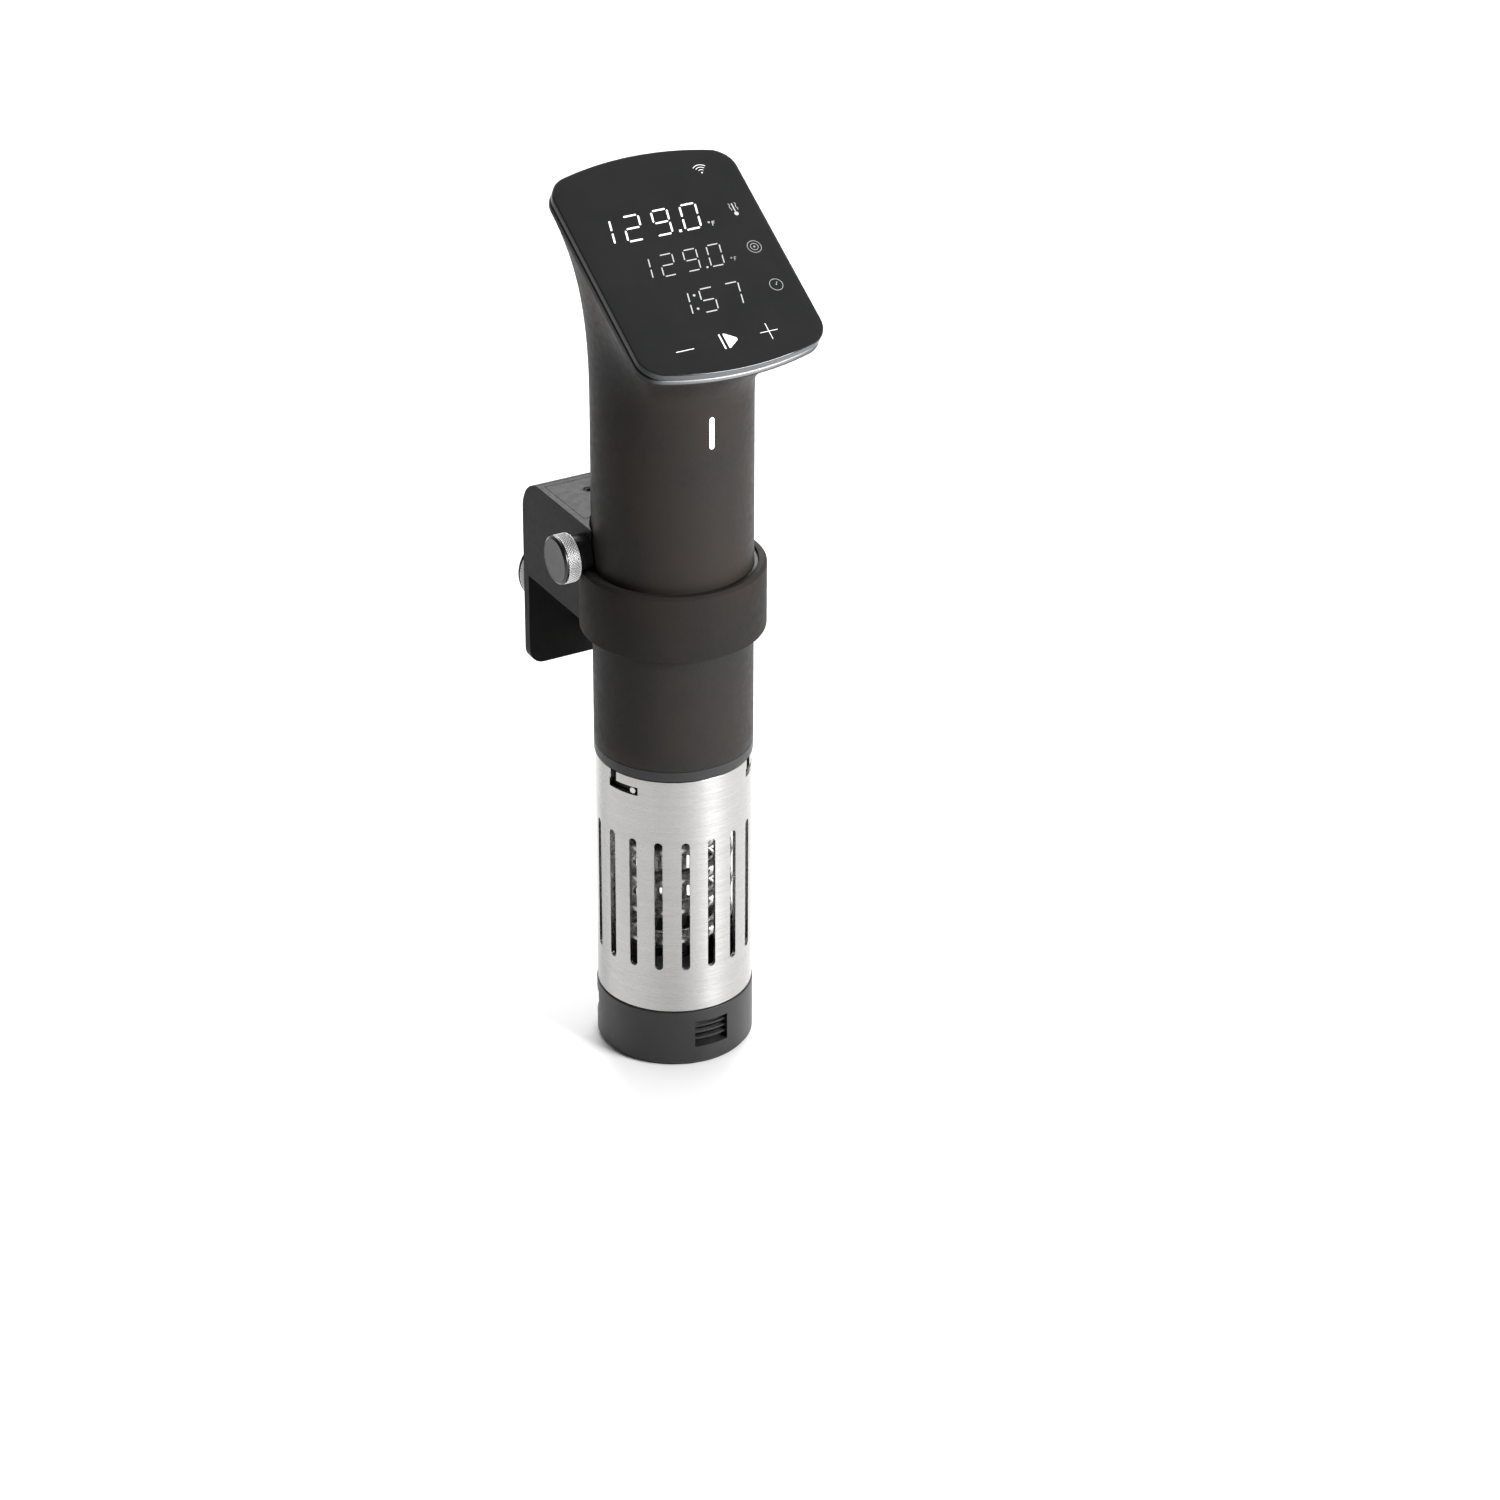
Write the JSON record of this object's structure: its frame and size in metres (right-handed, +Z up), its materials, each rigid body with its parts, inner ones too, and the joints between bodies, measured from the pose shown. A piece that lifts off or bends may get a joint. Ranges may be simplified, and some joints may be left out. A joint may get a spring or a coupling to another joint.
{
  "type": "sous vide circulator",
  "caption": "Immersion circulator: round column flaring to a tilted touch display, slotted wet end with impeller and heater, sliding collar with a screw clamp for a pot wall.",
  "frame": {"origin": "column axis at the flat underside of the base cap", "axes": "+Z up the column; -Y towards the user, where the display's low edge and the light bar are; +Y towards the clamp"},
  "size_m": [0.0793, 0.1561, 0.3497],
  "materials": {
    "shell_black": "matte powder coat, fine texture",
    "glass_black": "polished dark glass",
    "gasket": "matte",
    "film": "satin",
    "light_guide": "translucent",
    "inner_plastic": "matte",
    "pcb": "solder mask",
    "chips": "matte",
    "screws": "zinc plated",
    "light_bar": "lit white diffuser",
    "gland": "matte",
    "capacitor": "sleeve",
    "transformer": "tape",
    "relay": "moulded",
    "heatsink": "extruded",
    "bulkhead": "moulded",
    "seal": "silicone",
    "motor_steel": "satin",
    "copper": "enamelled copper",
    "stainless": "brushed",
    "ceramic": "glazed",
    "impeller": "moulded",
    "cap_black": "satin moulded",
    "liner": "acetal",
    "collar_black": "matte powder coat",
    "bracket_black": "matte powder coat",
    "brass": "turned",
    "nylon": "natural",
    "knob_chrome": "diamond knurled",
    "pad_rubber": "matte"
  },
  "bodies": {
    "root": {"column_shell": "shell_black", "display_glass": "glass_black", "glass_gasket": "gasket", "touch_sensor": "film", "light_guide": "light_guide", "display_tray": "inner_plastic", "display_board": "pcb", "display_chips": "chips", "buzzer": "chips", "tray_screws": "screws", "status_light_pipe": "light_bar", "status_led_board": "pcb", "cord_gland": "gland", "gland_nut": "inner_plastic", "inner_frame": "inner_plastic", "power_board": "pcb", "filter_capacitors": "capacitor", "transformer": "transformer", "relay": "relay", "triac_heatsink": "heatsink", "board_screws": "screws", "bulkhead": "bulkhead", "bulkhead_seals": "seal", "bayonet_pins": "stainless", "motor_bracket": "motor_steel", "motor_bracket_screws": "screws", "motor_can": "motor_steel", "motor_stator": "copper", "shaft_bearings": "motor_steel", "shaft_seal": "seal", "guide_tube": "stainless", "heater_coil": "stainless", "heater_terminals": "ceramic", "temperature_probe": "stainless", "level_pins": "stainless"},
    "rotor": {"drive_shaft": "stainless", "motor_rotor": "motor_steel", "impeller": "impeller", "impeller_clip": "stainless"},
    "skirt": {"skirt": "stainless"},
    "base_cap": {"base_cap": "cap_black", "base_outlet_grille": "cap_black"},
    "liner": {"collar_liner": "liner"},
    "clamp": {"collar_ring": "collar_black", "clamp_bracket": "bracket_black", "ring_screws": "screws", "bracket_cover": "bracket_black", "cover_screws": "bracket_black", "lock_bush": "brass", "pot_nut": "brass"},
    "lock_tip": {"lock_tip": "nylon"},
    "lock_knob": {"lock_screw": "stainless", "lock_knob": "knob_chrome"},
    "pot_pad": {"pad_disc": "stainless", "pad_rubber": "pad_rubber"},
    "pot_knob": {"pot_screw": "stainless", "pot_knob": "knob_chrome"}
  },
  "joints": [
    {"name": "rotor_spin", "type": "hinge", "parent": "root", "child": "rotor", "pos_m": [0, 0, 0.1], "axis": [0, 0, 1], "continuous": true},
    {"name": "skirt_twist", "type": "hinge", "parent": "root", "child": "skirt", "pos_m": [0, 0, 0.118], "axis": [0, 0, 1], "range_deg": [0, 18]},
    {"name": "base_cap_pull", "type": "slide", "parent": "skirt", "child": "base_cap", "axis": [0, 0, -1], "range_m": [0, 0.022]},
    {"name": "collar_slide", "type": "slide", "parent": "root", "child": "liner", "axis": [0, 0, 1], "range_m": [-0.045, 0.044]},
    {"name": "collar_swivel", "type": "hinge", "parent": "liner", "child": "clamp", "pos_m": [0, 0, 0.19], "axis": [0, 0, 1], "range_deg": [-180, 180]},
    {"name": "lock_tip_slide", "type": "slide", "parent": "clamp", "child": "lock_tip", "axis": [-1, 0, 0], "range_m": [0, 0.001]},
    {"name": "lock_knob_turn", "type": "hinge", "parent": "lock_tip", "child": "lock_knob", "pos_m": [-0.035, 0.0132, 0.2051], "axis": [-1, 0, 0], "range_deg": [0, 361]},
    {"name": "pad_slide", "type": "slide", "parent": "clamp", "child": "pot_pad", "axis": [0, 1, 0], "range_m": [-0.006, 0.008]},
    {"name": "pot_knob_turn", "type": "hinge", "parent": "pot_pad", "child": "pot_knob", "pos_m": [0, 0.09, 0.1554], "axis": [0, 1, 0], "range_deg": [-1082, 1442]}
  ],
  "couplings": [
    {"joint": "lock_knob_turn", "follows": "lock_tip_slide", "rad_per_m": 6283.2},
    {"joint": "pot_knob_turn", "follows": "pad_slide", "rad_per_m": 3141.6}
  ]
}
